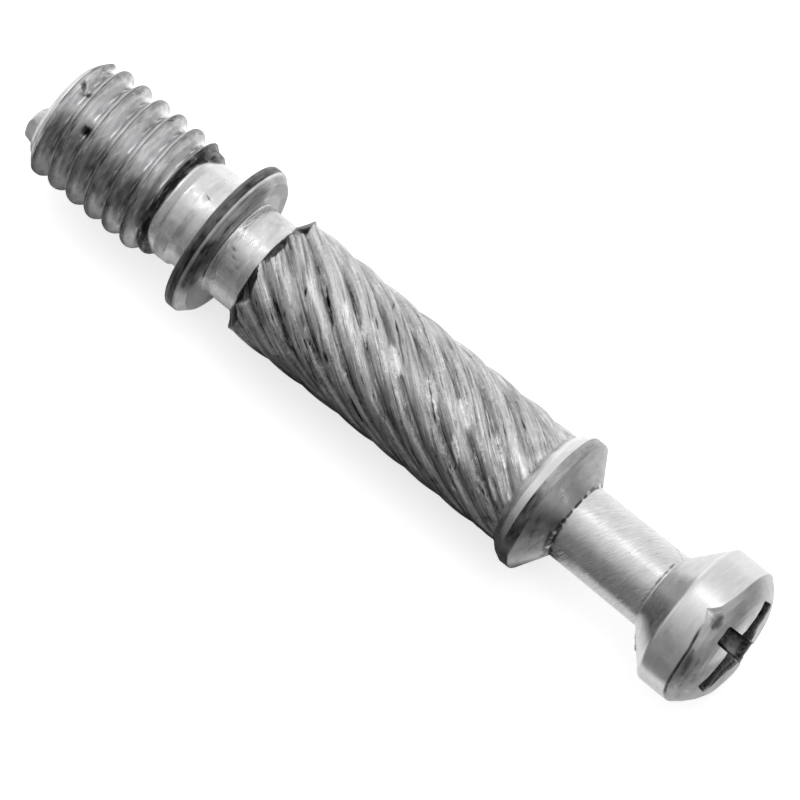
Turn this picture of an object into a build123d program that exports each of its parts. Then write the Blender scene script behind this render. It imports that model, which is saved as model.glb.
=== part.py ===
from build123d import *
import os
from math import asin, cos, radians, sin

os.makedirs("parts", exist_ok=True)

# Cam dowel: a threaded end, two necks either side of a stop flange, a twisted ribbed body,
# a conical collar, and a slim neck that ends in a flared head with a cross recess.
# It is one cold-formed piece of metal, so it is one solid.
# Lengths are in millimetres. It lies on its flange and its head, as it rests on a table.
# The origin is on the dowel's axis, in the face of the flange that seats against a panel.
# Positions run along the axis, negative towards the thread and positive towards the head.

# Threaded end: a right-hand M6 thread, rolled a little under size
thread_length = 7.05
thread_pitch = 1.0
thread_root_radius = 2.39
thread_height = 0.525
thread_crest_width = 0.42
thread_crest_rise = 0.09
thread_root_width = 0.08
thread_lead_in = 0.53
tip_chamfer_length = 0.30
tip_chamfer_depth = 0.19
first_crest_height = 0.17
thread_taper_length = 0.75
runout_lip_height = 0.25
runout_lip_length = 0.70
runout_lip_slope = 0.38
runout_fade_length = 0.40

# Stub left on the tip where the metal was cut off
stub_radius = 0.85
stub_height = 0.48
stub_round = 0.38
stub_offset = 1.42
stub_angle = 78.0

# Neck between the thread and the flange
thread_neck_length = 1.67
thread_neck_relief = 0.13

# Stop flange
flange_radius = 3.68
flange_rim_width = 0.50
flange_cone_length = 0.42
flange_cone_drop = 0.36

# Neck between the flange and the ribbed body
panel_neck_radius = 2.25
panel_neck_length = 1.50

# Ribbed body: right-hand ribs with rounded crests and narrow grooves
body_length = 14.93
body_chamfer_length = 0.40
rib_count = 12
rib_lead = 22.4
rib_crest_radius = 2.81
rib_height = 0.38
rib_crest_drop = 0.27
rib_crest_share = 0.80
rib_start_angle = 17.5

# Conical collar that closes the hole in the panel
collar_radius = 3.27
collar_side_length = 0.43
collar_shoulder_length = 0.38
collar_shoulder_drop = 0.19
collar_rim_width = 0.46
collar_cone_length = 0.97

# Slim neck that the cam grips, a little thicker towards the head
cam_neck_radius = 1.77
cam_neck_head_radius = 1.81
cam_neck_length = 4.81

# Head
head_flare_length = 1.46
head_radius = 3.41
head_band_width = 1.65
head_bevel_length = 0.82
head_bevel_depth = 1.04
face_edge_round = 0.35

# Cross recess for a driver
recess_span = 4.80
recess_wing_width = 0.95
recess_core_radius = 1.10
recess_depth = 2.40
recess_floor_share = 0.50
recess_offset = 0.20
recess_angle = 15.9

# Roundings, and the overlap of forms that run into each other
edge_round = 0.12
root_round = 0.10
flange_root_round = 0.25
lip_start_round = 0.12
lip_end_round = 0.15
collar_shoulder_round = 0.35
overlap = 0.10

# Positions along the axis
seat = 0.0
neck_start = seat - thread_neck_length
lip_start = neck_start - runout_lip_length
tip = neck_start - thread_length
flange_rim_end = seat + flange_rim_width
flange_end = flange_rim_end + flange_cone_length
body_start = flange_end + panel_neck_length
body_end = body_start + body_length
collar_shoulder_start = body_end + collar_side_length
collar_rim_start = collar_shoulder_start + collar_shoulder_length
collar_rim_end = collar_rim_start + collar_rim_width
cam_neck_start = collar_rim_end + collar_cone_length
cam_neck_end = cam_neck_start + cam_neck_length
band_start = cam_neck_end + head_flare_length
band_end = band_start + head_band_width
head_face = band_end + head_bevel_length

# Radii that follow from the heights and drops above
thread_crest_radius = thread_root_radius + thread_height
thread_neck_radius = thread_root_radius - thread_neck_relief
tip_radius = thread_root_radius - tip_chamfer_depth
first_crest_radius = thread_root_radius + first_crest_height
runout_lip_radius = thread_root_radius + runout_lip_height
flange_back_radius = flange_radius - flange_cone_drop
rib_root_radius = rib_crest_radius - rib_height
rib_shoulder_radius = rib_crest_radius - rib_crest_drop
collar_shoulder_radius = collar_radius - collar_shoulder_drop
head_face_radius = head_radius - head_bevel_depth

# The dowel rests on the flange's rim and the head's band, so its axis slopes down to the head
resting_span = (band_start + band_end) / 2 - (seat + flange_rim_end) / 2
rest_slope = asin((flange_radius - head_radius) / resting_span)
axis_direction = (cos(rest_slope), 0, -sin(rest_slope))
radial_up = (sin(rest_slope), 0, cos(rest_slope))

# Cross sections are drawn on the first plane, where X points up and Z runs along the dowel.
# Lengthways profiles are drawn on the second, where X runs along the dowel and Y is the radius.
axis_plane = Plane(origin=(0, 0, 0), x_dir=radial_up, z_dir=axis_direction)
profile_plane = Plane(origin=(0, 0, 0), x_dir=axis_direction, z_dir=(0, -1, 0))
dowel_axis = Axis((0, 0, 0), axis_direction)


def on_section(radius, angle):
    """A point of a cross section, from its radius and its angle in degrees from the top."""
    return (radius * cos(radians(angle)), radius * sin(radians(angle)))


# Turned form: the position, radius and rounding of each corner
turned_corners = [
    (tip, 0, 0),
    (tip, tip_radius - edge_round, 0),
    (tip + tip_chamfer_length, thread_root_radius, 0),
    (lip_start, thread_root_radius, 0),
    (lip_start, runout_lip_radius, lip_start_round),
    (neck_start - runout_lip_slope, runout_lip_radius, lip_end_round),
    (neck_start, thread_neck_radius, root_round),
    (seat, thread_neck_radius, 0),
    (seat, flange_radius, edge_round),
    (flange_rim_end, flange_radius, 0),
    (flange_end, flange_back_radius, 0),
    (flange_end, panel_neck_radius, flange_root_round),
    (body_start, panel_neck_radius, 0),
    (body_start + overlap, rib_root_radius - overlap, 0),
    (body_end - overlap, rib_root_radius - overlap, 0),
    (collar_shoulder_start, collar_shoulder_radius, collar_shoulder_round),
    (collar_rim_start, collar_radius, edge_round),
    (collar_rim_end, collar_radius, edge_round),
    (cam_neck_start, cam_neck_radius, root_round),
    (cam_neck_end, cam_neck_head_radius, root_round),
    (band_start, head_radius, edge_round),
    (band_end, head_radius, edge_round),
    (head_face, head_face_radius, face_edge_round),
    (head_face, 0, 0),
]

with BuildPart() as turned_form:
    with BuildSketch(profile_plane):
        with BuildLine():
            FilletPolyline(
                *[(position, radius) for position, radius, rounding in turned_corners],
                radius=[rounding for position, radius, rounding in turned_corners[1:-1]],
            )
            Line((head_face, 0), (tip, 0))
        make_face()
    revolve(axis=dowel_axis)

# Thread: a rounded ridge swept along a helix, trimmed where it starts and where it runs out
ridge_start = tip - thread_lead_in
ridge_turns = round((lip_start - ridge_start) / thread_pitch)
ridge_base = (thread_pitch - thread_root_width) / 2
ridge_shoulder = thread_crest_width / 2
ridge_shoulder_height = thread_height - thread_crest_rise
thread_outline = [
    (tip, 0),
    (tip, tip_radius),
    (tip + tip_chamfer_length, first_crest_radius),
    (tip + thread_taper_length, thread_crest_radius + overlap),
    (lip_start - runout_fade_length, thread_crest_radius + overlap),
    (lip_start + overlap, runout_lip_radius - overlap / 2),
    (lip_start + overlap, 0),
    (tip, 0),
]

with BuildPart() as thread_ridge:
    with BuildLine() as ridge_path:
        Helix(
            thread_pitch,
            ridge_turns * thread_pitch,
            thread_root_radius,
            center=axis_plane.offset(ridge_start).origin,
            direction=axis_direction,
        )
    ridge_plane = Plane(
        origin=ridge_path.line @ 0,
        x_dir=radial_up,
        z_dir=ridge_path.line % 0,
    )
    with BuildSketch(ridge_plane):
        with BuildLine():
            Polyline(
                (ridge_shoulder_height, ridge_shoulder),
                (0, ridge_base),
                (-overlap, ridge_base),
                (-overlap, -ridge_base),
                (0, -ridge_base),
                (ridge_shoulder_height, -ridge_shoulder),
            )
            ThreePointArc(
                (ridge_shoulder_height, -ridge_shoulder),
                (thread_height, 0),
                (ridge_shoulder_height, ridge_shoulder),
            )
        make_face()
    sweep(path=ridge_path.line, is_frenet=True)
    with BuildSketch(profile_plane):
        with BuildLine():
            Polyline(*thread_outline)
        make_face()
    revolve(axis=dowel_axis, mode=Mode.INTERSECT)

# Ribbed body: a scalloped bar twisted along its length, with a chamfer at its start
rib_step = 360 / rib_count
rib_crest_half = rib_step / 2 * rib_crest_share
bar_start = body_start - overlap
bar_end = body_end + overlap
chamfer_slope = (rib_crest_radius - panel_neck_radius) / body_chamfer_length
body_outline = [
    (bar_start, 0),
    (bar_start, panel_neck_radius - overlap * chamfer_slope),
    (body_start + body_chamfer_length + overlap / chamfer_slope, rib_crest_radius + overlap),
    (bar_end, rib_crest_radius + overlap),
    (bar_end, 0),
    (bar_start, 0),
]

with BuildPart() as ribbed_body:
    with BuildLine(mode=Mode.PRIVATE) as twist_path:
        Line(axis_plane.offset(bar_start).origin, axis_plane.offset(bar_end).origin)
    with BuildLine(mode=Mode.PRIVATE) as twist_guide:
        Helix(
            rib_lead,
            bar_end - bar_start,
            rib_crest_radius,
            center=axis_plane.offset(bar_start).origin,
            direction=axis_direction,
        )
    with BuildSketch(axis_plane.offset(bar_start)):
        with BuildLine():
            for rib in range(rib_count):
                crest = rib_start_angle + rib * rib_step
                crest_edge = crest + rib_crest_half
                next_edge = crest + rib_step - rib_crest_half
                ThreePointArc(
                    on_section(rib_shoulder_radius, crest - rib_crest_half),
                    on_section(rib_crest_radius, crest),
                    on_section(rib_shoulder_radius, crest_edge),
                )
                ThreePointArc(
                    on_section(rib_shoulder_radius, crest_edge),
                    on_section(rib_root_radius, crest + rib_step / 2),
                    on_section(rib_shoulder_radius, next_edge),
                )
        make_face()
    sweep(path=twist_path.line, binormal=twist_guide.edge())
    with BuildSketch(profile_plane):
        with BuildLine():
            Polyline(*body_outline)
        make_face()
    revolve(axis=dowel_axis, mode=Mode.INTERSECT)

# The whole dowel: the turned form with its thread, ribs, stub and recess
recess_centre = on_section(recess_offset, recess_angle - 90)
stub_centre = on_section(stub_offset, stub_angle)

with BuildPart() as cam_dowel:
    add(turned_form.part)
    add(thread_ridge.part)
    add(ribbed_body.part)

    # Stub: a low rounded boss on the tip's face
    with BuildSketch(axis_plane.offset(tip + overlap)):
        with Locations(stub_centre):
            Circle(stub_radius)
    extrude(amount=-(stub_height + overlap))
    stub_end = cam_dowel.faces().sort_by(dowel_axis)[0]
    fillet(stub_end.edges(), radius=stub_round)

    # Recess: four wings about a round core, all narrowing towards the floor
    for depth, share in ((0, 1), (recess_depth, recess_floor_share)):
        with BuildSketch(axis_plane.offset(head_face - depth)):
            with Locations(Location((*recess_centre, 0), (0, 0, recess_angle))):
                Rectangle(recess_span * share, recess_wing_width * (1 + share) / 2)
                Rectangle(recess_wing_width * (1 + share) / 2, recess_span * share)
                Circle(recess_core_radius * share)
    loft(mode=Mode.SUBTRACT)

cam_dowel.part.label = "cam_dowel"
export_step(cam_dowel.part, "parts/cam_dowel.step")
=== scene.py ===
from math import cos, pi, radians, sin

import bmesh
import bpy
import numpy as np
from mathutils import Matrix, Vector, bvhtree, kdtree


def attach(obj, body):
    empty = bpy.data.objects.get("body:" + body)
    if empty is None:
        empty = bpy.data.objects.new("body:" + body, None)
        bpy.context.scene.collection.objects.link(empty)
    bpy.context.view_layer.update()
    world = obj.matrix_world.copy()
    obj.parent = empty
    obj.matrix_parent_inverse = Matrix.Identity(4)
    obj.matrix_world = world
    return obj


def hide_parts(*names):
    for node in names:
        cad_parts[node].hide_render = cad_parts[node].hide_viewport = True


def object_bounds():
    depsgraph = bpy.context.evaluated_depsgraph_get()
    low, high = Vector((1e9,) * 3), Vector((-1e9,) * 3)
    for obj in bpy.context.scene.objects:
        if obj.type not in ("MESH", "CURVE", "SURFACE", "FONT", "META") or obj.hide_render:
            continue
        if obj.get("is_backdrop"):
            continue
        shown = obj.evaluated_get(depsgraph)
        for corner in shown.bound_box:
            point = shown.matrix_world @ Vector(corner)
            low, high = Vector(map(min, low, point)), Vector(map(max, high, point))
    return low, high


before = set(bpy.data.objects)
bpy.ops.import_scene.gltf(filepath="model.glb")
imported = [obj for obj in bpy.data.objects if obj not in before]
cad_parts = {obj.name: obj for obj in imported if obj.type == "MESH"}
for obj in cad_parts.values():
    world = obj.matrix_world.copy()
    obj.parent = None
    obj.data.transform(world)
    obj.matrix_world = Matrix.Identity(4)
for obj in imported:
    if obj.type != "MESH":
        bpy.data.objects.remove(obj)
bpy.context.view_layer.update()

# Sizes of the dowel, in millimetres and degrees.
# Positions run along its axis from the flange's seat, negative towards the thread.
# Angles run about the axis from the top, positive towards the near side.
# Marks and tones of the metal are placed from the side that the photograph shows.
# Many tones below are painted light and shade, fixed to the object by their angle past this side.
seen_side = 15.66

thread_root_radius = 2.39
thread_pitch = 1.0
thread_height = 0.525
thread_crest_width = 0.42
thread_crest_rise = 0.09
thread_root_width = 0.08
thread_lead_in = 0.53
thread_crest_radius = thread_root_radius + thread_height
tip = -8.72
tip_radius = 2.20
tip_chamfer_length = 0.30
first_crest_radius = 2.56
thread_taper_length = 0.75
runout_fade_length = 0.40
lip_start = -2.37
lip_radius = 2.64
lip_slope_start = -2.05
neck_start = -1.67
thread_neck_radius = 2.26

stub_radius = 1.00
stub_height = 0.50
stub_round = 0.42
stub_offset = 1.50
stub_angle = 78.0

seat = 0.0
flange_radius = 3.68
flange_rim_end = 0.50
flange_end = 0.90
flange_back_radius = 3.32
panel_neck_radius = 2.25

body_start = 2.42
body_end = 17.35
rib_count = 12
rib_lead = 22.4
rib_crest_radius = 2.81
rib_height = 0.38
rib_crest_drop = 0.27
rib_crest_share = 0.80
rib_start_angle = 17.5

collar_shoulder = 17.78
collar_shoulder_radius = 3.08
collar_rim_start = 18.16
collar_rim_end = 18.62
collar_radius = 3.27
cam_neck_start = 19.59
cam_neck_end = 24.40
cam_neck_radius = 1.77
cam_neck_head_radius = 1.81
band_start = 25.86
band_end = 27.51
head_radius = 3.41
head_face = 28.37
head_tilt = 0.045
head_bulge = 0.13

recess_reaches = (2.72, 2.40, 2.60, 2.28)
recess_wing_widths = (0.95, 1.30, 0.95, 1.30)
recess_wing_shifts = (0.0, -0.20, 0.0, 0.20)
recess_core_radius = 1.10
recess_depth = 2.40
recess_floor_share = 0.50
recess_offset = 0.20
recess_angle = 15.9
recess_corner_round = 0.14
recess_rim_round = 0.07

edge_round = 0.12
root_round = 0.10
rest_slope = 0.585

# The mesh's own grid
columns = 216
column_angles = np.arange(columns) * 360 / columns

MM = 0.001
AXIS = Vector((cos(radians(rest_slope)), 0, -sin(radians(rest_slope))))
UP = Vector((sin(radians(rest_slope)), 0, cos(radians(rest_slope))))
NEAR = Vector((0, -1, 0))


def on_axis(position):
    """A point of the dowel's axis, in metres."""
    return AXIS * position * MM


def around(position, radius, angle):
    """Points about the axis, in metres, from arrays of positions, radii and angles."""
    position, radius, angle = np.broadcast_arrays(position, radius, np.radians(angle))
    along = position[..., None] * np.array(AXIS)
    outwards = np.cos(angle)[..., None] * np.array(UP) + np.sin(angle)[..., None] * np.array(NEAR)
    return (along + radius[..., None] * outwards) * MM


# Camera, in degrees and millimetres
VIEW_AZIMUTH = 40.62
VIEW_ELEVATION = 69.69
VIEW_DISTANCE = 503.1
VIEW_MIDDLE = 10.504
VIEW_ASIDE = 0.671
LENS = 540


def make_camera():
    azimuth, elevation = radians(VIEW_AZIMUTH), radians(VIEW_ELEVATION)
    back = Vector((sin(azimuth) * cos(elevation), -cos(azimuth) * cos(elevation), sin(elevation)))
    aside = UP * cos(radians(seen_side + 90)) + NEAR * sin(radians(seen_side + 90))
    target = on_axis(VIEW_MIDDLE) + aside * VIEW_ASIDE * MM
    data = bpy.data.cameras.new("camera")
    data.lens = LENS
    data.sensor_width = 36
    camera = bpy.data.objects.new("camera", data)
    camera.location = target + back * VIEW_DISTANCE * MM
    camera.rotation_euler = back.to_track_quat("Z", "Y").to_euler()
    bpy.context.scene.collection.objects.link(camera)
    bpy.context.scene.camera = camera


make_camera()


# Helpers for profiles, wear and painted light and shade
def rounded_profile(corners, arc_points=5):
    """Positions and radii along a polyline whose corners have the given roundings."""
    points = []
    for i, (position, radius, rounding) in enumerate(corners):
        here = np.array((position, radius))
        if rounding == 0 or i in (0, len(corners) - 1):
            points.append(here)
            continue
        before = np.array(corners[i - 1][:2]) - here
        after = np.array(corners[i + 1][:2]) - here
        before /= np.linalg.norm(before)
        after /= np.linalg.norm(after)
        half = np.arccos(np.clip(before @ after, -1, 1)) / 2
        reach = rounding / np.tan(half)
        middle = here + (before + after) / np.linalg.norm(before + after) * rounding / np.sin(half)
        start = here + before * reach - middle
        end = here + after * reach - middle
        turn = np.arccos(np.clip(start @ end / rounding ** 2, -1, 1))
        for share in np.linspace(0, 1, arc_points):
            weight_start = np.sin((1 - share) * turn) / np.sin(turn)
            weight_end = np.sin(share * turn) / np.sin(turn)
            points.append(middle + start * weight_start + end * weight_end)
    return np.array(points)


def divided(points, step):
    """The same polyline with its long runs divided."""
    out = [points[0]]
    for start, end in zip(points[:-1], points[1:]):
        count = max(1, int(np.ceil(np.linalg.norm(end - start) / step)))
        for share in np.linspace(0, 1, count + 1)[1:]:
            out.append(start + (end - start) * share)
    return np.array(out)


def smooth_step(low, high, value):
    share = np.clip((value - low) / (high - low), 0, 1)
    return share * share * (3 - 2 * share)


def window(low, high, value, soft):
    """1 between two limits and 0 beyond them, with soft edges."""
    return smooth_step(low - soft, low + soft, value) * (1 - smooth_step(high - soft, high + soft, value))


def mix(first, second, share):
    return first * (1 - share) + second * share


def speckle(position, angle, length, width, seed):
    """Smooth random values, -1 to 1, in cells of a length along the axis and a width in degrees round it."""
    count = max(3, round(360 / width))
    along = (position + 12) / length
    turn = np.mod(angle, 360) / 360 * count
    grid = np.random.default_rng(seed).uniform(-1, 1, (int(45 / length) + 2, count))
    row, column = np.floor(along).astype(int), np.floor(turn).astype(int)
    share_row, share_column = along - row, turn - column
    share_row = share_row ** 2 * (3 - 2 * share_row)
    share_column = share_column ** 2 * (3 - 2 * share_column)
    column, next_column = column % count, (column + 1) % count
    low = mix(grid[row, column], grid[row, next_column], share_column)
    high = mix(grid[row + 1, column], grid[row + 1, next_column], share_column)
    return mix(low, high, share_row)


def past_seen_side(angle):
    """Angle from the side that the photograph shows, -180 to 180."""
    return np.mod(angle - seen_side + 180, 360) - 180


def by_angle(near, table):
    """A value from a table of angles past the seen side and values, closed round the back."""
    angles, values = zip(*table)
    return np.interp(near, angles, values, period=360)


def shaded(near, start, end):
    """Rises between two angles past the seen side, and fades out round the back without a seam."""
    return smooth_step(start, end, near) * (1 - smooth_step(95, 165, near))


def mark(position, angle, radius, start, end, width):
    """How strongly a point lies on a line between two places.

    Each place is a position and an angle past the seen side, and the radius turns angles into lengths.
    """
    x, y = position, np.radians(past_seen_side(angle)) * radius
    x0, y0 = start[0], radians(start[1]) * radius
    x1, y1 = end[0], radians(end[1]) * radius
    length = max((x1 - x0) ** 2 + (y1 - y0) ** 2, 1e-9)
    along = np.clip(((x - x0) * (x1 - x0) + (y - y0) * (y1 - y0)) / length, 0, 1)
    away = np.hypot(x - x0 - along * (x1 - x0), y - y0 - along * (y1 - y0))
    ends = 1 - 0.6 * (2 * along - 1) ** 2
    return 1 - smooth_step(0.35, 1, away / (width * ends))


def flow(position, angle, along, across):
    """Places for the metal's grain, drawn out along or across the axis."""
    turn = np.radians(angle)
    return np.stack(np.broadcast_arrays(position * along, np.cos(turn) * across, np.sin(turn) * across), -1)


# How finely the grain repeats along the axis and round it
RINGS = (1.0, 0.7)
STREAKS = (0.14, 3.4)


# Thread
def thread_phase(position, angle):
    """Turns of the thread from its start."""
    return (position - tip + thread_lead_in) / thread_pitch - np.radians(angle) / (2 * pi)


def thread_ridge(position, angle):
    """Radius of the thread's ridge."""
    turns = thread_phase(position, angle)
    away = np.abs(turns - np.round(turns)) * thread_pitch
    half_crest = thread_crest_width / 2
    half_base = (thread_pitch - thread_root_width) / 2
    shoulder = thread_height - thread_crest_rise
    crest = thread_height - thread_crest_rise * (away / half_crest) ** 2
    flank = shoulder * (half_base - away) / (half_base - half_crest)
    return thread_root_radius + np.where(away < half_crest, crest, np.maximum(flank, 0))


# Tones by the angle past the seen side, which are painted light and shade: lighter just above the seen side,
# darker below it. Marks have a start, an end and a width, and some a depth of tone.
thread_painted_shading = ((-65, 0.45), (-45, 0.58), (-35, 0.71), (-10, 0.77), (15, 0.37), (42, 0.38), (65, 0.58))
thread_pits = (
    ((-8.16, -30), (-7.95, -24), 0.20),
    ((-7.72, -28), (-7.55, -22), 0.17),
    ((-6.82, 1), (-6.56, 9), 0.24),
)
runout_dark_start = -2.62
runout_dark_end = -2.13


def thread_rows():
    """Tip, thread and run-out lip, up to the neck."""
    outline = np.array((
        (tip, tip_radius),
        (tip + tip_chamfer_length, first_crest_radius),
        (tip + thread_taper_length, thread_crest_radius + 0.1),
        (lip_start - runout_fade_length, thread_crest_radius + 0.1),
        (lip_start + 0.1, lip_radius - 0.05),
    ))
    lip = rounded_profile((
        (lip_start, thread_root_radius, 0),
        (lip_start + 0.02, lip_radius, 0.12),
        (lip_slope_start, lip_radius, 0.2),
        (neck_start, thread_neck_radius, 0.95),
        (neck_start + 0.6, thread_neck_radius, 0),
    ), 8)
    positions = np.concatenate((
        np.linspace(tip, tip + 0.06, 3)[:-1],
        np.arange(tip + 0.06, lip_start + 0.02, 0.072),
        divided(lip[2:], 0.09)[:, 0],
    ))
    rounding = np.interp(positions, (tip, tip + 0.03, tip + 0.06), (edge_round * 0.9, edge_round * 0.2, 0))
    core = np.interp(
        positions,
        (tip, tip + tip_chamfer_length, lip_start),
        (tip_radius - edge_round, thread_root_radius, thread_root_radius),
    )
    lip_reach = np.interp(positions, lip[:, 0], lip[:, 1], left=0)
    limit = np.interp(positions, outline[:, 0], outline[:, 1], right=0)
    at, angle = np.meshgrid(positions, column_angles, indexing="ij")
    near = past_seen_side(angle)
    ridge = np.minimum(thread_ridge(at, angle), limit[:, None])
    radius = np.maximum(np.maximum(core[:, None], ridge), lip_reach[:, None]) - rounding[:, None]

    # Dull crests with painted light and shade by angle, a few pits, a bright rim at the tip and a dark
    # run-out
    patch = speckle(at, angle, 0.8, 20, 13)
    uneven = speckle(at, angle, 0.3, 7, 14)
    radius = radius + 0.012 * uneven
    tone = by_angle(near, thread_painted_shading) + 0.05 * patch + 0.04 * uneven
    top_dirt = mark(at, angle, 2.6, (-8.30, -95), (-8.35, -50), 0.38)
    tone = tone * (1 - 0.72 * top_dirt)
    for start, end, width in thread_pits:
        pit = mark(at, angle, 2.7, start, end, width)
        radius = radius - 0.08 * pit
        tone = tone * (1 - 0.85 * pit)
    rim = 1 - smooth_step(tip + 0.20, tip + 0.30, at)
    tone = mix(tone, 0.74 + 0.06 * uneven, rim)
    dark_end = runout_dark_end + 0.38 * smooth_step(30, 78, np.abs(near))
    ring = window(runout_dark_start, dark_end, at + 0.04 * patch, 0.05)
    ring = ring * (1 - smooth_step(130, 150, np.abs(near)))
    torn = np.clip(uneven, 0, 1) * smooth_step(40, 60, np.abs(near))
    tone = mix(tone, 0.07 + 0.05 * patch + 0.12 * torn, ring)
    neck = smooth_step(-0.03, 0.05, at - dark_end)
    # The neck is light, and the lighter band on the lip's slope is a painted reflection.
    tone = mix(tone, 0.86 + 0.04 * patch + 0.16 * window(-2.15, -1.84, at, 0.08), neck)
    rough = mix(0.40, 0.26, neck)
    grain = mix(0.55, 0.20, neck)
    turned = 1 - smooth_step(lip_start - 0.25, lip_start - 0.1, at)
    lines = np.radians(thread_phase(at, angle) * 360)
    helix = np.stack((np.cos(lines), np.sin(lines), turned * (1 - rim)), -1)
    return at, radius, angle, tone, rough, grain, flow(at, angle, *RINGS), helix


# The field of the thread's helix is this where there is no thread
NO_HELIX = (1.0, 0.0, 0.0)


# Turned lengths
def turned_rows(corners, step, extra=(), turned=0.0):
    """Rows of a turned form, without its first, with extra ones at some positions."""
    points = divided(rounded_profile(corners), step)[1:]
    for place in extra:
        i = int(np.argmax(points[:, 0] > place))
        if min(place - points[i - 1, 0], points[i, 0] - place) > 0.012:
            radius = np.interp(place, points[i - 1:i + 1, 0], points[i - 1:i + 1, 1])
            points = np.insert(points, i, (place, radius), axis=0)
    at, angle = np.meshgrid(points[:, 0], column_angles + turned, indexing="ij")
    radius = np.repeat(points[:, 1][:, None], columns, axis=1)
    return at, radius, angle


flange_pits = (
    ((-0.90, -23), (-0.88, -22), 0.07, 0.9),
    ((1.34, 2), (1.62, 12), 0.06, 0.6),
    ((0.62, 14), (0.70, 20), 0.12, 0.6),
    ((0.66, 47), (0.72, 51), 0.08, 0.6),
    ((-1.55, 20), (-1.20, 32), 0.06, 0.3),
    ((1.75, 28), (2.05, 16), 0.05, 0.4),
)


def flange_rows():
    """The thread's neck, the flange and the panel's neck."""
    at, radius, angle = turned_rows((
        (neck_start + 0.6, thread_neck_radius, 0),
        (seat, thread_neck_radius, root_round),
        (seat, flange_radius, edge_round),
        (flange_rim_end, flange_radius, 0.03),
        (flange_end, flange_back_radius, 0.06),
        (flange_end, panel_neck_radius, 0.05),
        (body_start - 0.19, panel_neck_radius, 0),
    ), 0.22, extra=(0.17, 0.24, 0.42, 0.46, 0.54, 0.58, 0.64, 0.70, 0.78, 0.84, 2.0, 2.1))
    near = past_seen_side(angle)
    out = radius > panel_neck_radius + 0.45
    patch = speckle(at, angle, 0.7, 18, 22)
    worn = speckle(at, angle + at * 25, 0.25, 9, 23)
    small = speckle(at, angle, 0.15, 4, 24)
    tone = 0.84 + 0.05 * patch + 0.04 * worn
    on_rim = radius > flange_radius - 0.10
    rim = window(0.03, 0.50, at, 0.03) * on_rim
    tone = mix(tone, np.where(at < 0.2, 0.17, 0.07) + 0.05 * small, rim)

    # A bright edge between the rim and the cone, with painted shade on its lower near side, and the cone
    # itself, dark on the seen side: painted shade in a band just below the seen side, and painted light
    # towards the top and bottom, and more on the lower side
    edge = window(0.51, 0.56, at, 0.015) * (radius > flange_radius - 0.14)
    tone = mix(tone, 0.75 + 0.2 * smooth_step(-0.3, 0.3, small) - 0.35 * shaded(near, -5, 20), edge)
    cone = smooth_step(0.57, 0.59, at) * out
    painted_shade_band = window(4, 38, near, 8)
    streak = window(0.70, 0.76, at, 0.03) * window(-45, 5, near, 18)
    painted_light = smooth_step(48, 64, np.abs(near))
    low = shaded(near, 44, 60)
    tone = mix(tone, 0.29 + 0.10 * worn + 0.25 * streak - 0.22 * painted_shade_band + 0.14 * painted_light + 0.40 * low, cone)

    # The flange's back and the neck behind it, up to the body, with painted light on the back towards its top
    # and bottom and on its lower side, and painted shade on the neck below the seen side and on its top
    back = smooth_step(flange_end - 0.05, flange_end - 0.01, at)
    back = back * smooth_step(0.004, 0.035, radius - panel_neck_radius)
    tone = mix(tone, 0.20 + 0.10 * painted_light + 0.66 * low, back)
    neck_painted_shade = window(2, 34, near, 8)
    tone = tone * (1 - (0.32 * neck_painted_shade + 0.22 * shaded(-near, 38, 60)) * smooth_step(0.9, 1.0, at))
    foot = smooth_step(2.08, 2.16, at)
    tone = mix(tone, 0.76 + 0.08 * small, foot * (1 - 0.4 * neck_painted_shade))
    radius = radius + np.where(out, 0, 0.005) * worn + 0.004 * patch
    for start, end, width, depth in flange_pits:
        pit = mark(at, angle, 2.3, start, end, width)
        tone = tone * (1 - depth * pit)
        radius = radius - 0.02 * pit
    rough = np.where(out, 0.40, 0.25)
    grain = np.where(out, 0.35, 0.22) + 0.2 * foot - 0.18 * rim
    return at, radius, angle, tone, rough, grain, flow(at, angle, *RINGS), NO_HELIX


# Ribs
rib_step = 360 / rib_count
rib_half_crest = rib_step / 2 * rib_crest_share


def rib_section():
    """Angle from a crest, and radius there, of one rib's section."""
    root = rib_crest_radius - rib_height
    shoulder = rib_crest_radius - rib_crest_drop

    def arc(*places):
        """An arc through three places, each a radius and an angle."""
        start, middle, end = (np.array((r * cos(radians(a)), r * sin(radians(a)))) for r, a in places)
        to_middle, to_end = middle - start, end - start
        cross = to_middle[0] * to_end[1] - to_middle[1] * to_end[0]
        size_middle, size_end = to_middle @ to_middle, to_end @ to_end
        centre = start + np.array((
            to_end[1] * size_middle - to_middle[1] * size_end,
            to_middle[0] * size_end - to_end[0] * size_middle,
        )) / (2 * cross)
        rays = [start - centre, middle - centre, end - centre]
        angles = np.unwrap([np.arctan2(ray[1], ray[0]) for ray in rays])
        sweep = np.linspace(angles[0], angles[2], 60)
        radius = np.linalg.norm(rays[0])
        return centre + radius * np.stack((np.cos(sweep), np.sin(sweep)), 1)

    crest = arc((shoulder, -rib_half_crest), (rib_crest_radius, 0), (shoulder, rib_half_crest))
    valley = arc((shoulder, rib_half_crest), (root, rib_step / 2), (shoulder, rib_step - rib_half_crest))
    points = np.concatenate((crest, valley[1:]))
    return np.degrees(np.arctan2(points[:, 1], points[:, 0])), np.linalg.norm(points, axis=1)


section_angles, section_radii = rib_section()


def past_crest(local):
    """Angle past the nearest rib's crest, from the angle in the twisted frame."""
    return np.mod(local - rib_start_angle + rib_step / 2, rib_step) - rib_step / 2


def rib_radius(local):
    away = np.mod(local - rib_start_angle + rib_half_crest, rib_step) - rib_half_crest
    return np.interp(away, section_angles, section_radii)


def twist_at(position):
    """Turn of the ribs at a position, in degrees."""
    reach = np.clip(position, body_start - 0.1, body_end) - body_start + 0.1
    return reach / rib_lead * 360


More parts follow.
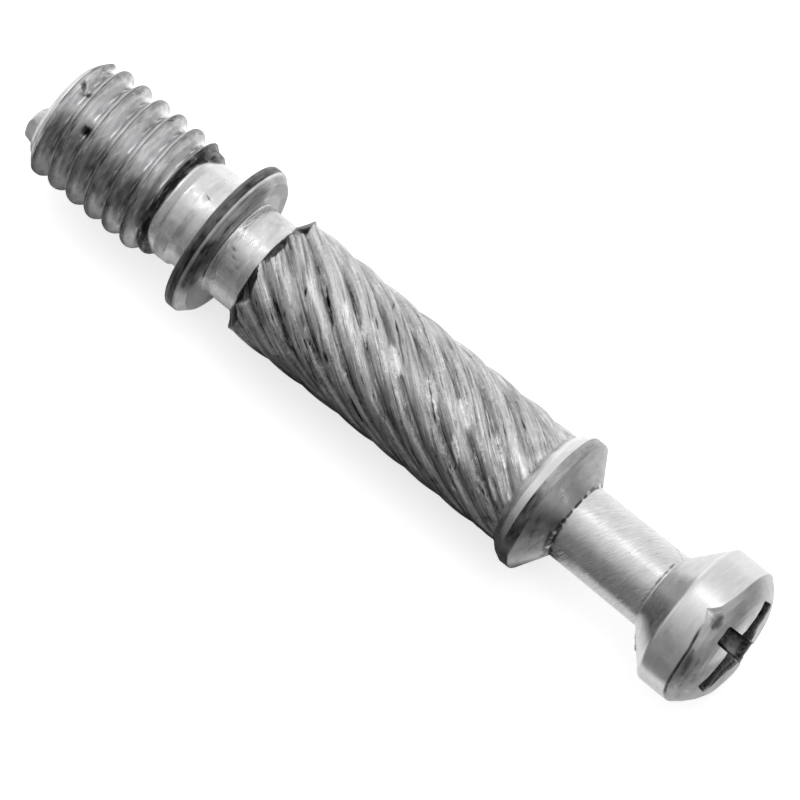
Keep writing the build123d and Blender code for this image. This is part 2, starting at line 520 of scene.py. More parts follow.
def fine_ridges(at, local):
    """Small ridges and grooves that run nearly along the ribs: their height and their polish."""
    rng = np.random.default_rng(31)
    height = np.zeros_like(at)
    polish = np.zeros_like(at)
    for _ in range(110):
        middle = rng.uniform(body_start, body_end)
        length = rng.uniform(1.5, 5.5)
        turn = rng.uniform(0, 360)
        drift = rng.normal(1.2, 1.6)
        width = rng.uniform(0.9, 2.2)
        size = rng.choice((-0.045, -0.03, 0.025, 0.035)) * rng.uniform(0.5, 1.3)
        away = np.mod(local - turn - drift * (at - middle) + 180, 360) - 180
        shape = np.exp(-(away / width) ** 2) * (1 - smooth_step(0.3, 1, np.abs(at - middle) / (length / 2)))
        height += size * shape
        polish += np.sign(size) * shape
    return height, np.clip(polish, -1, 1)


# Length of the dark facets at the ribs' start
start_reach = (
    (-180, 0.30), (-150, 0.45), (-130, 0.10), (-110, 0.45), (-90, 0.44), (-75, 0.54), (-60, 0.58),
    (-46, 0.50), (-40, 0.08), (-36, 0.24), (-30, 0.43), (-15, 0.43), (-9, 0.24), (-4, 0.05), (1, 0.14),
    (10, 0.45), (25, 0.60), (36, 0.56), (41, 0.24), (46, 0.50), (60, 0.58), (75, 0.56), (90, 0.46),
    (105, 0.12), (125, 0.45), (150, 0.12), (165, 0.40),
)


# Painted highlights: bright patches on the ribs' crests, each with a start, an end and a width
painted_highlight_patches = (
    ((9.30, -20), (10.35, -1), 0.30),
    ((7.70, -20), (8.45, -7), 0.20),
    ((11.38, -20), (12.41, 0), 0.32),
    ((13.03, -23), (14.10, -4), 0.30),
    ((15.18, -19), (16.30, 2), 0.30),
    ((14.53, -5), (15.60, 10), 0.12),
    ((6.60, -24), (7.20, -12), 0.12),
    ((13.93, 11), (14.60, 24), 0.22),
    ((16.12, 19), (16.90, 31), 0.16),
)
rib_dents = (
    ((5.50, -25), (6.94, 3), 0.075),
    ((8.24, -12), (8.69, 0), 0.05),
    ((8.77, -39), (10.44, -9), 0.06),
    ((5.02, -8), (5.14, -6), 0.13),
    ((4.88, 18), (5.02, 21), 0.13),
    ((4.22, -64), (4.60, -58), 0.10),
    ((8.06, -55), (8.16, -53), 0.10),
    ((7.30, 25), (7.60, 29), 0.16),
    ((8.10, -28), (8.40, -23), 0.08),
    ((14.75, 28), (14.98, 34), 0.10),
    ((14.30, 36), (14.85, 33), 0.05),
    ((16.90, 38), (17.15, 34), 0.08),
    ((15.70, 30), (16.50, 37), 0.08),
    ((11.30, -20), (12.90, 12), 0.045),
    ((13.40, -42), (15.20, -8), 0.045),
)


def body_rows():
    """The ribs, whose columns twist with them."""
    positions = np.concatenate((
        np.arange(body_start - 0.13, body_start + 0.86, 0.065),
        np.arange(body_start + 0.93, body_end, 0.132),
        (body_end,),
    ))
    at = np.repeat(positions[:, None], columns, axis=1)
    local = np.repeat(column_angles[None, :], len(positions), axis=0)
    angle = local + twist_at(positions)[:, None]
    near = past_seen_side(angle)
    past = past_crest(local)
    swell = np.interp(at, (2.3, 4.0, 5.8, 7.7, 10.0), (0.08, 0.09, 0.04, 0.015, 0))
    ridges, polish = fine_ridges(at, local)
    streak = speckle(at, local, 1.1, 3.2, 33)
    patch = speckle(at, local, 0.9, 8, 34)
    radius = rib_radius(local) + swell + ridges + 0.012 * streak + 0.012 * patch

    # Dull, streaked crests, with painted light just above the seen side and painted shade below it, thin
    # grooves darkened with painted shade and a bright beaded line beside each, which is a painted highlight
    # on a small ridge
    level = 1 + 0.2 * window(-22, -2, near, 10) - 0.40 * shaded(near, 2, 30) - 0.10 * shaded(near, 30, 60)
    tone = (0.60 + 0.08 * streak + 0.06 * patch + 0.16 * polish) * level
    groove = 1 - smooth_step(0.4, 2.0, rib_step / 2 - np.abs(past))
    tone = tone * (1 - 0.62 * groove * (0.75 + 0.25 * patch))
    lower = shaded(near, 15, 38)
    beads = window(-11.6, -10.2, past + 0.5 * patch, 0.5)
    beads = beads * mix(smooth_step(-0.5, 0.4, speckle(at, local, 0.25, 20, 35)), 0.30, lower)
    tone = mix(tone, 0.95, 0.85 * beads)
    radius = radius + 0.02 * beads
    grain = 0.84 + 0.16 * patch
    rough = np.full_like(at, 0.34)
    # The bright, grainy patches are painted highlights.
    for start, end, width in painted_highlight_patches:
        painted_highlight = mark(at, angle, 2.8, start, end, width)
        tone = mix(tone, 1.2, 0.9 * painted_highlight)
        grain = grain + 0.5 * painted_highlight
        rough = rough + 0.12 * painted_highlight
    for start, end, width in rib_dents:
        dent = mark(at, angle, 2.75, start, end, width)
        radius = radius - 0.05 * dent
        tone = tone * (1 - 0.85 * dent)

    # The ribs smear out against the collar
    smear = smooth_step(15.6, 17.2, at + 0.35 * patch)
    lumps = speckle(at, angle, 0.3, 5, 36)
    radius = mix(radius, 2.72 + 0.05 * lumps, 0.5 * smear)
    tone = tone + smear * (0.20 * lumps + 0.04)

    # The start: dark facets between the ends of the ribs, which are painted shadow, lighter round the back,
    # and the neck before them with painted shade below the seen side
    first = body_start + np.interp(np.abs(near), (0, 60, 90), (0.23, 0.21, -0.04))
    reach = by_angle(near, start_reach) + 0.02 * speckle(at, angle, 2, 6, 37)
    share = (at - first) / reach
    on_cut = 1 - smooth_step(0.93, 1.08, share)
    radius = panel_neck_radius + (radius - panel_neck_radius) * np.clip(share, 0, 1)
    radius = radius + 0.11 * np.exp(-((share - 1) * reach / 0.13) ** 2) * window(-112, -60, near, 8)
    far_side = smooth_step(95, 140, np.abs(near))
    facet_tone = mix(0.45, 0.04, smooth_step(0.10, 0.26, reach) * (1 - 0.7 * far_side))
    before = 1 - smooth_step(-0.03, 0.02, at - first)
    neck_tone = 0.80 * (1 - 0.32 * window(2, 34, near, 8)) + 0.05 * lumps
    tone = mix(tone, mix(facet_tone, neck_tone, before), on_cut)
    grain = mix(mix(grain, 0.3, on_cut), 0.25, before)
    rough = mix(rough, 0.25, before)
    place = np.where(before[..., None] > 0.5, flow(at, angle, *RINGS), flow(at, local, *STREAKS))
    return at, radius, angle, tone, rough, grain, place, NO_HELIX


# Collar, cam neck and head
# Painted light and shade by the angle past the seen side: on the collar's cone a lighter band at the seen
# side and painted shade below it, on the bevel lighter at the seen side and painted shade below it
cone_painted_shading = ((-60, 0.40), (-30, 0.42), (-20, 0.58), (0, 0.70), (20, 0.19), (30, 0.11), (60, 0.25), (75, 0.42))
bevel_painted_shading = ((-60, 0.70), (-10, 0.75), (10, 0.92), (25, 0.64), (45, 0.27), (70, 0.29))

# How far the edge between band and bevel is pushed back, as a whole and in one sharp kink
edge_pull = (
    (-40, 0), (-31, 0.04), (-18, 0.20), (-9.8, 0.34), (2, 0.32), (8, 0.26),
    (20, 0.15), (40, 0.17), (60, 0.21), (80, 0.22), (105, 0.08), (130, 0),
)
edge_spike = ((-18, 0), (-12.7, 0.14), (-9.8, 0.34), (-7, 0.16), (-2, 0))

# Rows that follow the dirt at the cam neck's ends, the burr beside it and a bright line on the flare
neck_start_rows = (19.34, 19.40, 19.46, 19.52, 19.66, 19.74)
neck_end_rows = (24.22, 24.26, 24.30, 24.34)
burr_rows = (24.72, 24.78, 24.92, 25.0)
flare_line_rows = (25.68, 25.72, 25.76)

head_stains = (
    ((27.80, -13), (27.82, -3), 0.24, 0.75),
    ((27.66, 19), (27.82, 44), 0.17, 0.6),
    ((28.00, 24), (28.06, 36), 0.05, 0.3),
    ((24.26, -42), (24.28, -30), 0.05, 0.7),
    ((24.20, 78), (24.30, 86), 0.08, 0.7),
    ((23.74, -77), (24.49, -56), 0.04, 0.5),
    ((26.10, 20), (26.95, 30), 0.35, 0.14),
)


def head_rows():
    """The collar, the cam neck and the head, up to the middle of its face."""
    at, radius, angle = turned_rows((
        (body_end, rib_crest_radius - 0.15, 0),
        (collar_shoulder, collar_shoulder_radius, 0.35),
        (collar_rim_start, collar_radius, 0.05),
        (collar_rim_end, collar_radius, edge_round),
        (cam_neck_start, cam_neck_radius, root_round),
        (cam_neck_end, cam_neck_head_radius, root_round),
        (band_start, head_radius, 0.26),
        (band_end, head_radius, 0.04),
        (band_end + 0.29, 3.14, 0.3),
        (band_end + 0.52, 2.82, 0.3),
        (band_end + 0.67, 2.52, 0.3),
        (head_face - 0.10, 2.20, 0.3),
        (head_face - 0.04, 1.80, 0.3),
        (head_face - 0.01, 1.30, 0.3),
        (head_face, 0.80, 0),
    ), 0.24, turned=twist_at(body_end), extra=(
        collar_rim_start - 0.03, collar_rim_start + 0.03, collar_rim_end - 0.04, collar_rim_end + 0.05,
        *neck_start_rows, *neck_end_rows, *burr_rows, *flare_line_rows,
        band_end - 0.09, band_end - 0.05, band_end + 0.04, band_end + 0.08,
    ))
    near = past_seen_side(angle)
    patch = speckle(at, angle, 0.7, 20, 42)
    small = speckle(at, angle, 0.12, 4, 41)
    lower = smooth_step(0, 25, near) * (1 - smooth_step(100, 130, near))

    # Where each part of the turned form lies
    side = 1 - smooth_step(collar_rim_start - 0.02, collar_rim_start + 0.02, at)
    rim = window(collar_rim_start, collar_rim_end, at, 0.02)
    cone = window(collar_rim_end, cam_neck_start - 0.1, at, 0.03)
    ring_start = cam_neck_start - 0.09 - 0.08 * lower
    ring_end = cam_neck_start + 0.02 + 0.13 * lower
    ring = window(ring_start, ring_end, at + 0.03 * patch, 0.03)
    neck = window(cam_neck_start - 0.1, cam_neck_end, at, 0.03)
    flare = window(cam_neck_end, band_start - 0.12, at, 0.03)
    band = window(band_start - 0.12, band_end, at, 0.02)
    bevel = smooth_step(band_end - 0.02, band_end + 0.02, at)
    cone_painted_highlight = mark(at, angle, 2.6, (18.85, -13), (19.25, -9), 0.30)

    # Its tones, with painted shade below the seen side on the collar's side and rim, the cam neck and the
    # band, and on the band's top, painted light and shade by angle on the cone and bevel with a painted
    # highlight on the cone, dirt at the neck's ends and lines at the head's edges
    tone = (
        side * (0.50 + 0.36 * smooth_step(17.48, 17.62, at) * (1 - 0.8 * shaded(near, -2, 22)) + 0.06 * patch)
        + rim * (0.36 - 0.23 * window(0, 50, near, 6) + 0.05 * small)
        + cone * (by_angle(near, cone_painted_shading) + 0.03 * patch + 0.15 * cone_painted_highlight)
        + neck * (0.80 + 0.04 * patch - 0.22 * shaded(near, 0, 25))
        + flare * (0.72 + 0.05 * patch)
        + band * (0.84 - 0.07 * shaded(-near, 15, 40) + 0.05 * patch) * (1 - 0.38 * shaded(near, 50, 78))
        + bevel * (by_angle(near, bevel_painted_shading) + 0.05 * patch)
    )
    tone = tone * (1 - 0.9 * ring * smooth_step(-0.6, 0.0, speckle(at, angle, 0.12, 5, 46)))
    broken = window(24.26, 24.34, at, 0.03) * smooth_step(-0.7, -0.1, speckle(at, angle, 5, 7, 47))
    tone = tone * (1 - broken * (0.75 * window(-42, 0, near, 3) + 0.40 * window(0, 50, near, 5)))
    tone = mix(tone, 0.9, window(25.70, 25.75, at, 0.02))
    line = window(band_end - 0.05, band_end + 0.06, at, 0.02) * window(4, 72, near, 5)
    tone = tone * (1 - 0.85 * line)
    for start, end, width, depth in head_stains:
        tone = tone * (1 - depth * mark(at, angle, 2.9, start, end, width))
    # A painted highlight at the band's edge, beside the kink
    painted_light = mark(at, angle, 3.2, (27.56, -11), (27.60, -8), 0.16)
    tone = mix(tone, 0.9, painted_light)
    radius = radius + 0.004 * patch
    burr = mark(at, angle, 2.3, (24.95, 84), (25.00, 90), 0.15)
    burr = burr + 0.6 * mark(at, angle, 2.1, (24.74, 82), (24.76, 86), 0.10)
    nick = mark(at, angle, 3.4, (27.10, 80), (27.22, 84), 0.14)
    radius = radius + 0.13 * burr - 0.05 * nick

    # The punched recess has pushed the edge between band and bevel out of line
    rise_and_fall = 0, 1, 0
    pull = by_angle(near, edge_pull)
    pull = pull * np.interp(at, (band_start + 0.3, band_end, head_face - 0.05), rise_and_fall)
    spike = by_angle(near, edge_spike)
    spike = spike * np.interp(at, (band_end - 0.5, band_end, band_end + 0.25), rise_and_fall)
    far_bulge = head_bulge * window(110, 178, near, 20)
    on_face = smooth_step(band_end, head_face - 0.1, at)
    shift = on_face * (far_bulge - head_tilt * radius * np.cos(np.radians(near))) - pull - spike
    rough = 0.26 * side + 0.36 * (rim + cone) + 0.28 * (neck + flare) + 0.30 * band + 0.42 * bevel
    grain = 0.25 * side + 0.3 * (rim + bevel) + 0.36 * neck + 0.2 * flare + 0.15 * band
    grain = grain + (0.2 + 0.7 * cone_painted_highlight) * cone
    slanted = flow(at, angle + 60 * at, 0.8, 2.2)
    place = mix(flow(at, angle, *RINGS), slanted, neck[..., None])
    return at + shift, radius, angle, tone, rough, grain, place, NO_HELIX


class Shell:
    """Points and faces of one closed mesh, with what the metal needs at each point."""

    def __init__(self):
        self.points = []
        self.wear_and_painted_light = []
        self.flow = []
        self.helix = []
        self.faces = []

    def add_row(self, points, tone, rough, grain, place, helix):
        first = len(self.points)
        count = len(points)
        self.points.extend(map(tuple, points))
        wear_and_painted_light = [np.broadcast_to(value, count) for value in (tone, rough, grain)]
        self.wear_and_painted_light.extend(np.stack(wear_and_painted_light, -1).tolist())
        self.flow.extend(np.broadcast_to(place, (count, 3)).tolist())
        self.helix.extend(np.broadcast_to(helix, (count, 3)).tolist())
        return np.arange(first, first + count)

    def bridge(self, row, next_row):
        """Quads between two closed rows of the same count."""
        corners = row, np.roll(row, -1), np.roll(next_row, -1), next_row
        self.faces.extend(zip(*(corner.tolist() for corner in corners)))

    def close(self, row, middle):
        """Triangles from a closed row to one point."""
        self.faces.extend((int(a), int(b), int(middle)) for a, b in zip(row, np.roll(row, -1)))

    def make_object(self, name):
        """A mesh object of it, with its faces turned outwards."""
        mesh = bpy.data.meshes.new(name)
        mesh.from_pydata(self.points, [], self.faces)
        form = bmesh.new()
        form.from_mesh(mesh)
        bmesh.ops.recalc_face_normals(form, faces=form.faces)
        form.to_mesh(mesh)
        form.free()
        made = bpy.data.objects.new(name, mesh)
        bpy.context.scene.collection.objects.link(made)
        return made

    def fill_fields(self, mesh):
        """Each point of a mesh cut from this one takes over the fields, and the recess its painted shade.

        The recess has the points that lie off this one's surface.
        """
        tree = kdtree.KDTree(len(self.points))
        for i, point in enumerate(self.points):
            tree.insert(point, i)
        tree.balance()
        nearest = [tree.find(vertex.co)[1] for vertex in mesh.vertices]
        wear_and_painted_light, place, helix = (np.array(values)[nearest] for values in (self.wear_and_painted_light, self.flow, self.helix))
        surface = bvhtree.BVHTree.FromPolygons(self.points, self.faces)
        away = np.array([surface.find_nearest(vertex.co)[3] for vertex in mesh.vertices])
        inside = away > 0.03 * MM
        points = np.array([vertex.co for vertex in mesh.vertices])[inside] / MM
        depth, up, near = (points @ np.array(way) for way in (AXIS, UP, NEAR))
        depth = head_face - depth
        seen = radians(seen_side)
        far = -(up * cos(seen) + near * sin(seen))
        aside = near * cos(seen) - up * sin(seen)
        far_end = window(0.45, 1.0, depth, 0.1) * smooth_step(0.9, 1.3, far) * window(-0.45, 0.30, aside, 0.1)
        # The recess is darkened with painted shade, darkest from a little below its mouth to the middle, and
        # lighter on part of its far wall
        wear_and_painted_light[inside, 0] = np.interp(depth, (0.1, 0.35, 1.2, 2.2), (0.14, 0.05, 0.03, 0.12)) + 0.3 * far_end
        wear_and_painted_light[inside, 1] = 0.45
        wear_and_painted_light[inside, 2] = 0.25
        place[inside] = points
        for field, values in (("wear_and_painted_light", wear_and_painted_light), ("flow", place), ("helix", helix)):
            mesh.attributes.new(field, "FLOAT_VECTOR", "POINT").data.foreach_set("vector", values.ravel())


def stub_rise(place_up, place_near):
    """Height of the stub above the tip's face."""
    centre = stub_offset * cos(radians(stub_angle)), stub_offset * sin(radians(stub_angle))
    away = np.hypot(place_up - centre[0], place_near - centre[1])
    flat = stub_radius - stub_round
    fall = np.sqrt(np.clip(1 - (np.clip(away - flat, 0, None) / stub_round) ** 2, 0, 1))
    top = stub_height - stub_round * (1 - fall)
    return top - (stub_height - stub_round) * smooth_step(-0.06, 0.02, away - stub_radius)


TIP_WEAR = (0.55, 0.4, 0.5)
HEAD_FACE_WEAR = (0.6, 0.42, 0.3)


def add_tip(shell, outer, reach):
    """The tip's face narrows to a point, and the stub rises from it."""
    turn = np.radians(column_angles)
    for share in np.append(np.linspace(1, 0, 19)[1:-1], 0.02):
        radius = reach * share
        rise = stub_rise(radius * np.cos(turn), radius * np.sin(turn))
        tone, rough, grain = TIP_WEAR
        tone = tone + 0.12 * smooth_step(0.05, 0.2, rise) + 0.08 * speckle(radius, column_angles, 0.3, 25, 51)
        place = flow(radius, column_angles, 1, 1)
        inner = shell.add_row(around(tip - rise, radius, column_angles), tone, rough, grain, place, NO_HELIX)
        shell.bridge(inner, outer)
        outer = inner
    middle = shell.add_row(around(tip, 0, [0.0]), *TIP_WEAR, (0, 0, 0), NO_HELIX)[0]
    shell.close(outer[::-1], middle)


def add_head_face(shell, outer, reach, angle):
    """The head's flat face narrows to a point."""
    for share in (0.66, 0.33):
        place = flow(reach * share, angle, 1, 1)
        inner = shell.add_row(around(head_face, reach * share, angle), *HEAD_FACE_WEAR, place, NO_HELIX)
        shell.bridge(outer, inner)
        outer = inner
    middle = shell.add_row(around(head_face, 0, [0.0]), *HEAD_FACE_WEAR, (0, 0, 0), NO_HELIX)[0]
    shell.close(outer, middle)


def make_shell():
    """The dowel without its recess."""
    shell = Shell()
    rows = []
    zones = thread_rows(), flange_rows(), body_rows(), head_rows()
    for at, radius, angle, *fields in zones:
        levels = [np.broadcast_to(field, at.shape) for field in fields[:3]]
        places = [np.broadcast_to(field, at.shape + (3,)) for field in fields[3:]]
        for i in range(len(at)):
            points = around(at[i], radius[i], angle[i])
            rows.append(shell.add_row(points, *(field[i] for field in levels + places)))
    for row, next_row in zip(rows[:-1], rows[1:]):
        shell.bridge(row, next_row)
    first_radius = zones[0][1][0]
    add_tip(shell, rows[0], first_radius)
    add_head_face(shell, rows[-1], radius[-1], angle[-1])
    return shell


# Recess
def recess_outline(share, grow):
    """Places of the cross's outline, up and near, at one depth and grown by a margin.

    The share is what is left there of the mouth's size. The wings narrow half as fast as they shorten.
    """
    core = recess_core_radius * share + grow
    rounding = recess_corner_round * (0.6 + 0.4 * share) + grow
    widest = 0.93 * core
    sides = []
    for width, shift in zip(recess_wing_widths, recess_wing_shifts):
        half_width = width * (1 + share) / 4 + grow
        places = shift * share - half_width, shift * share + half_width
        sides.append([float(np.clip(place, -widest, widest)) for place in places])
    points = []
    for quarter, wing_reach in enumerate(recess_reaches):
        turn = quarter * pi / 2 + radians(recess_angle)
        low, high = sides[quarter]
        next_low = sides[(quarter + 1) % 4][0]
        low_start, high_start = (core ** 2 - low ** 2) ** 0.5, (core ** 2 - high ** 2) ** 0.5
        bend_start = wing_reach * share + grow - rounding
        bends = np.linspace(0, pi / 2, 6)
        core_bends = np.linspace(np.arcsin(high / core), pi / 2 + np.arcsin(next_low / core), 8)
        wing = [(run, low) for run in np.linspace(low_start, bend_start, 7)]
        wing += [(bend_start + rounding * sin(bend), low + rounding * (1 - cos(bend))) for bend in bends[1:]]
        wing += [(bend_start + rounding * cos(bend), high - rounding * (1 - sin(bend))) for bend in bends]
        wing += [(run, high) for run in np.linspace(bend_start, high_start, 7)[1:]]
        wing += [(core * cos(bend), core * sin(bend)) for bend in core_bends[1:-1]]
        points += [(x * cos(turn) - y * sin(turn), x * sin(turn) + y * cos(turn)) for x, y in wing]
    aside = radians(recess_angle - 90)
    return np.array(points) + recess_offset * np.array((cos(aside), sin(aside)))


def make_cutter():
    """The recess as a closed form, flared at its mouth."""
    cutter = Shell()
    above_face = 0.6
    levels = [
        (-above_face, 1, recess_rim_round),
        (0, 1, recess_rim_round),
        (recess_rim_round * 0.3, 1, recess_rim_round * 0.3),
    ]
    for down in (0, 0.03, 0.07, 0.12, 0.2, 0.3, 0.42, 0.6, 0.8, 1):
        depth = recess_rim_round + (recess_depth - recess_rim_round) * down
        levels.append((depth, 1 + (recess_floor_share - 1) * down, 0))
    rows = []
    for depth, share, grow in levels:
        outline = recess_outline(share, grow)
        along = np.full(len(outline), head_face - depth)[:, None] * np.array(AXIS)
        points = (along + outline[:, :1] * np.array(UP) + outline[:, 1:] * np.array(NEAR)) * MM
        rows.append(cutter.add_row(points, 0.05, 0.4, 0.4, (0, 0, 0), NO_HELIX))
    for row, next_row in zip(rows[:-1], rows[1:]):
        cutter.bridge(row, next_row)
    cutter.faces.append(tuple(rows[-1].tolist()))
    cutter.faces.append(tuple(rows[0].tolist()[::-1]))
    return cutter.make_object("recess_cutter")


SHARP_ANGLE = 38


def make_dowel():
    """The shell with its recess cut, and then the fields, which the cut would lose."""
    shell = make_shell()
    dowel = shell.make_object("dowel")
    cutter = make_cutter()
    cut = dowel.modifiers.new("recess", "BOOLEAN")
    cut.operation = "DIFFERENCE"
    cut.solver = "EXACT"
    cut.object = cutter
    graph = bpy.context.evaluated_depsgraph_get()
    finished = bpy.data.meshes.new_from_object(dowel.evaluated_get(graph))
    dowel.modifiers.clear()
    dowel.data = finished
    bpy.data.objects.remove(cutter)
    shell.fill_fields(finished)
    finished.shade_smooth()
    finished.set_sharp_from_angle(angle=radians(SHARP_ANGLE))
    return dowel


dowel = make_dowel()


# Metal
def join(nodes, links, kind, *values, **settings):
    """A new node with its settings, and its inputs in order.

    Numbers are set, sockets are linked and None is left as it is.
    """
    node = nodes.new(kind)
    for name, value in settings.items():
        setattr(node, name, value)
    for socket, value in zip(node.inputs, values):
        if isinstance(value, bpy.types.NodeSocket):
            links.new(value, socket)
        elif value is not None:
            socket.default_value = value
    return node


# The thread's tone along one pitch, from the root's middle: a bright line on the flank towards the head,
# which is a painted highlight, and a dark one on the other, which is painted shade
THREAD_PAINTED_SHADING_STOPS = (
    (0.00, 0.38), (0.08, 0.20), (0.12, 0.20), (0.15, 0.35), (0.24, 0.35), (0.27, 0.46), (0.31, 0.46),
    (0.37, 0.12), (0.41, 0.12), (0.44, 0.20), (0.53, 0.20), (0.78, 0.50), (0.84, 0.70), (0.87, 1.00),
    (0.92, 1.00), (0.95, 0.52), (1.00, 0.38),
)


def make_metal():
    """Bare metal: the fields give its tone, roughness and grain, and noise breaks them up."""
    material = bpy.data.materials.new("bare_metal")
    material.use_nodes = True
    nodes, links = material.node_tree.nodes, material.node_tree.links
    shader = nodes["Principled BSDF"]
    shader.inputs["Metallic"].default_value = 1

    def number(operation, *values):
        return join(nodes, links, "ShaderNodeMath", *values, operation=operation).outputs[0]

    def noise(place, scale, detail, roughness=0.55):
        node = nodes.new("ShaderNodeTexNoise")
        links.new(place, node.inputs["Vector"])
        node.inputs["Scale"].default_value = scale
        node.inputs["Detail"].default_value = detail
        node.inputs["Roughness"].default_value = roughness
        return node.outputs["Fac"]

    def ranged(value, low, high, to_low, to_high):
        node = nodes.new("ShaderNodeMapRange")
        links.new(value, node.inputs["Value"])
        for name, amount in (("From Min", low), ("From Max", high), ("To Min", to_low), ("To Max", to_high)):
            node.inputs[name].default_value = amount
        return node.outputs["Result"]

    def field(name):
        node = nodes.new("ShaderNodeAttribute")
        node.attribute_name = name
        parts = join(nodes, links, "ShaderNodeSeparateXYZ", node.outputs["Vector"])
        return node.outputs["Vector"], parts.outputs

    _, (tone, rough, grain) = field("wear_and_painted_light")
    place, _ = field("flow")
    _, (helix_cos, helix_sin, on_thread) = field("helix")
    solid = nodes.new("ShaderNodeTexCoord").outputs["Object"]

    # Grain that follows the working of the metal, and blotches that don't
    fine = noise(place, 9, 3, 0.6)
    drawn = noise(place, 3.2, 3)
    lines = noise(place, 6, 1, 0.4)
    winding = noise(place, 2.6, 2, 0.5)
    crease = ranged(number("ABSOLUTE", number("SUBTRACT", winding, 0.5)), 0, 0.022, 1, 0)
    crease = number("MULTIPLY", crease, number("MULTIPLY_ADD", ranged(lines, 0.42, 0.58, 0, 1), 2, -1))
    blotch = noise(solid, 1500, 4)
    light = ranged(lines, 0.58, 0.68, 0, 1)
    dark = ranged(lines, 0.42, 0.32, 0, 1)
    spread = number("MULTIPLY_ADD", fine, 0.55, -0.275)
    spread = number("ADD", spread, number("MULTIPLY_ADD", drawn, 0.50, -0.25))
    spread = number("ADD", spread, number("MULTIPLY", light, 0.22))
    spread = number("SUBTRACT", spread, number("MULTIPLY", dark, 0.22))
    coarse = ranged(grain, 0.5, 1.2, 0, 1)
    grit = noise(solid, 6500, 2, 0.6)
    specks = number("SUBTRACT", ranged(grit, 0.56, 0.66, 0, 1), ranged(grit, 0.42, 0.32, 0, 1))
    spread = number("ADD", spread, number("MULTIPLY", number("MULTIPLY", specks, 0.28), coarse))
    spread = number("ADD", spread, number("MULTIPLY", crease, 0.30))
    spread = number("MULTIPLY", spread, grain)
    spread = number("ADD", spread, number("MULTIPLY_ADD", blotch, 0.16, -0.08))

    # The thread's lines follow its helix. A stop of a third leaves the tone as it is.
    turn = number("ARCTAN2", helix_sin, helix_cos)
    past = number("MULTIPLY_ADD", turn, 0.5 / pi, 0.5)
    flank = nodes.new("ShaderNodeValToRGB")
    ramp = flank.color_ramp
    for position, _ in THREAD_PAINTED_SHADING_STOPS[1:-1]:
        ramp.elements.new(position)
    for element, (_, level) in zip(ramp.elements, THREAD_PAINTED_SHADING_STOPS):
        element.color = (level, level, level, 1)
    links.new(past, flank.inputs["Fac"])
    factor = number("MULTIPLY_ADD", flank.outputs["Color"], 3, -1)
    factor = number("MULTIPLY_ADD", factor, on_thread, 1)
    tone = number("MULTIPLY", number("ADD", number("MULTIPLY", tone, factor), spread), 0.8)

    colour = nodes.new("ShaderNodeValToRGB")
    colour.color_ramp.elements[0].color = (0.02, 0.02, 0.02, 1)
    colour.color_ramp.elements[1].color = (0.97, 0.97, 0.98, 1)
    links.new(tone, colour.inputs["Fac"])
    links.new(colour.outputs["Color"], shader.inputs["Base Color"])

    links.new(number("ADD", rough, ranged(blotch, 0.3, 0.7, -0.06, 0.08)), shader.inputs["Roughness"])

    height = number("ADD", fine, number("MULTIPLY", drawn, 1.2))
    height = number("ADD", height, number("MULTIPLY", crease, 0.6))
    height = number("ADD", height, number("MULTIPLY", grit, number("MULTIPLY", coarse, 1.6)))
    bump = nodes.new("ShaderNodeBump")
    bump.inputs["Distance"].default_value = 0.00003
    links.new(number("MULTIPLY", grain, 0.8), bump.inputs["Strength"])
    links.new(height, bump.inputs["Height"])
    links.new(bump.outputs["Normal"], shader.inputs["Normal"])
    return material


dowel.data.materials.append(make_metal())
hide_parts("cam_dowel")
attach(dowel, "root")


# Floor, world and light
FLOOR_REACH = 1.5
FLOOR_GREY = 0.8
FLOOR_GLOW = 0.60
SKY_LEVEL = 1.07
NEAR_SHADE = 0.80
HEAD_SHADE = 0.45


def seen_directly(nodes, links):
    """1 for rays from the camera, a reflection or a see-through surface, otherwise 0."""
    path = nodes.new("ShaderNodeLightPath")
    seen = path.outputs["Is Camera Ray"]
    for name in ("Is Glossy Ray", "Is Transmission Ray"):
        either = join(nodes, links, "ShaderNodeMath", seen, path.outputs[name], operation="MAXIMUM")
        seen = either.outputs[0]
    return seen


def make_sheet(name, low_x, high_x, low_y, high_y, height, grey, specular):
    """A level, dull sheet: the object, and its material's nodes and links and shader."""
    mesh = bpy.data.meshes.new(name)
    mesh.from_pydata(
        [(low_x, low_y, height), (high_x, low_y, height), (high_x, high_y, height), (low_x, high_y, height)],
        [],
        [(0, 1, 2, 3)],
    )
    sheet = bpy.data.objects.new(name, mesh)
    bpy.context.scene.collection.objects.link(sheet)
    material = bpy.data.materials.new(name)
    material.use_nodes = True
    tree = material.node_tree
    shader = tree.nodes["Principled BSDF"]
    shader.inputs["Base Color"].default_value = (grey, grey, grey, 1)
    shader.inputs["Roughness"].default_value = 0.9
    shader.inputs["Specular IOR Level"].default_value = specular
    mesh.materials.append(material)
    return sheet, tree, shader


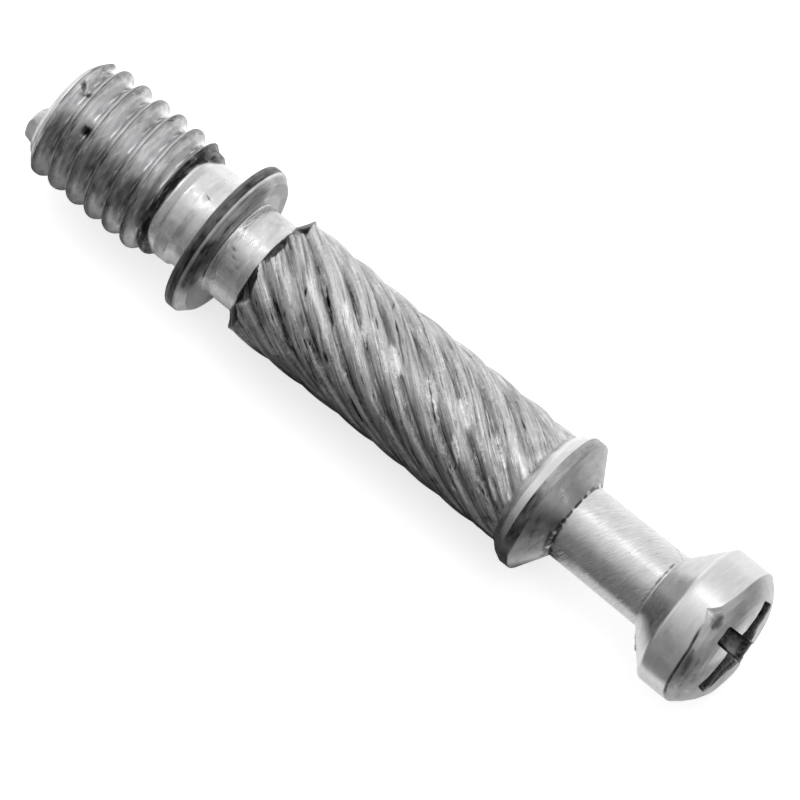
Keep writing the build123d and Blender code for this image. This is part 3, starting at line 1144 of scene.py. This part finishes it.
def make_floor():
    """A pale floor that the camera and reflections see as white, with the object's shadow on it."""
    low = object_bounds()[0][2]
    floor, tree, shader = make_sheet(
        "floor", -FLOOR_REACH, FLOOR_REACH, -FLOOR_REACH, FLOOR_REACH, low, FLOOR_GREY, 0.1
    )
    shader.inputs["Emission Color"].default_value = (1, 1, 1, 1)
    seen = seen_directly(tree.nodes, tree.links)
    glow = join(tree.nodes, tree.links, "ShaderNodeMath", seen, FLOOR_GLOW, operation="MULTIPLY")
    tree.links.new(glow.outputs[0], shader.inputs["Emission Strength"])
    floor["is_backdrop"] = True


def make_world():
    """White all round, darker towards the near side and towards the head's end."""
    world = bpy.data.worlds.new("studio")
    world.use_nodes = True
    bpy.context.scene.world = world
    nodes, links = world.node_tree.nodes, world.node_tree.links
    background = nodes["Background"]
    background.inputs["Color"].default_value = (1, 1, 1, 1)
    direction = nodes.new("ShaderNodeTexCoord").outputs["Generated"]
    parts = join(nodes, links, "ShaderNodeSeparateXYZ", direction)
    level = SKY_LEVEL
    for output, sign, shade in (("Y", -1, NEAR_SHADE), ("X", 1, HEAD_SHADE)):
        fall = join(nodes, links, "ShaderNodeMapRange", parts.outputs[output], 0, sign, 0, shade)
        take = join(nodes, links, "ShaderNodeMath", level, fall.outputs["Result"], operation="SUBTRACT")
        level = take.outputs[0]
    links.new(level, background.inputs["Strength"])


def make_lamp(name, place, size, power):
    """A rectangular lamp that faces the middle of the object."""
    data = bpy.data.lights.new(name, "AREA")
    data.shape = "RECTANGLE"
    data.size, data.size_y = size
    data.energy = power
    lamp = bpy.data.objects.new(name, data)
    lamp.location = place
    lamp.rotation_euler = (Vector(place) - on_axis(VIEW_MIDDLE)).to_track_quat("Z", "Y").to_euler()
    bpy.context.scene.collection.objects.link(lamp)


def make_card(name, low_x, high_x, low_y, high_y, grey, lift=0.0002):
    """A grey card lying beside the object, which only reflections show."""
    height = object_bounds()[0][2] + lift
    card = make_sheet(name, low_x, high_x, low_y, high_y, height, grey, 0.0)[0]
    card.visible_camera = False
    card.visible_shadow = False
    card.visible_diffuse = False
    card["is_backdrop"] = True


make_floor()
make_world()

# The cards in metres: their ends along x, their sides along y, and their grey
# The cards are painted light and shade for reflections: grey sheets, seen only in reflections, that stand in
# for the floor's light and shade beside and under the object
make_card("near_card", -0.15, 0.25, -0.25, -0.0078, 0.28, 0.0001)
make_card("thread_card", -0.012, -0.0025, -0.0078, 0.003, 0.40)
make_card("neck_card", -0.0025, 0.004, -0.03, -0.0095, 0.50)
make_card("neck_near_card", -0.0025, 0.004, -0.0095, 0.003, 0.95)
make_card("body_card", 0.004, 0.0195, -0.0078, 0.003, 0.12)
make_card("head_card", 0.033, 0.25, -0.0078, 0.15, 0.30)

make_lamp("softbox", (0.05, 0.075, 0.36), (0.30, 0.08), 0.10)

bpy.context.scene.view_settings.view_transform = "Standard"
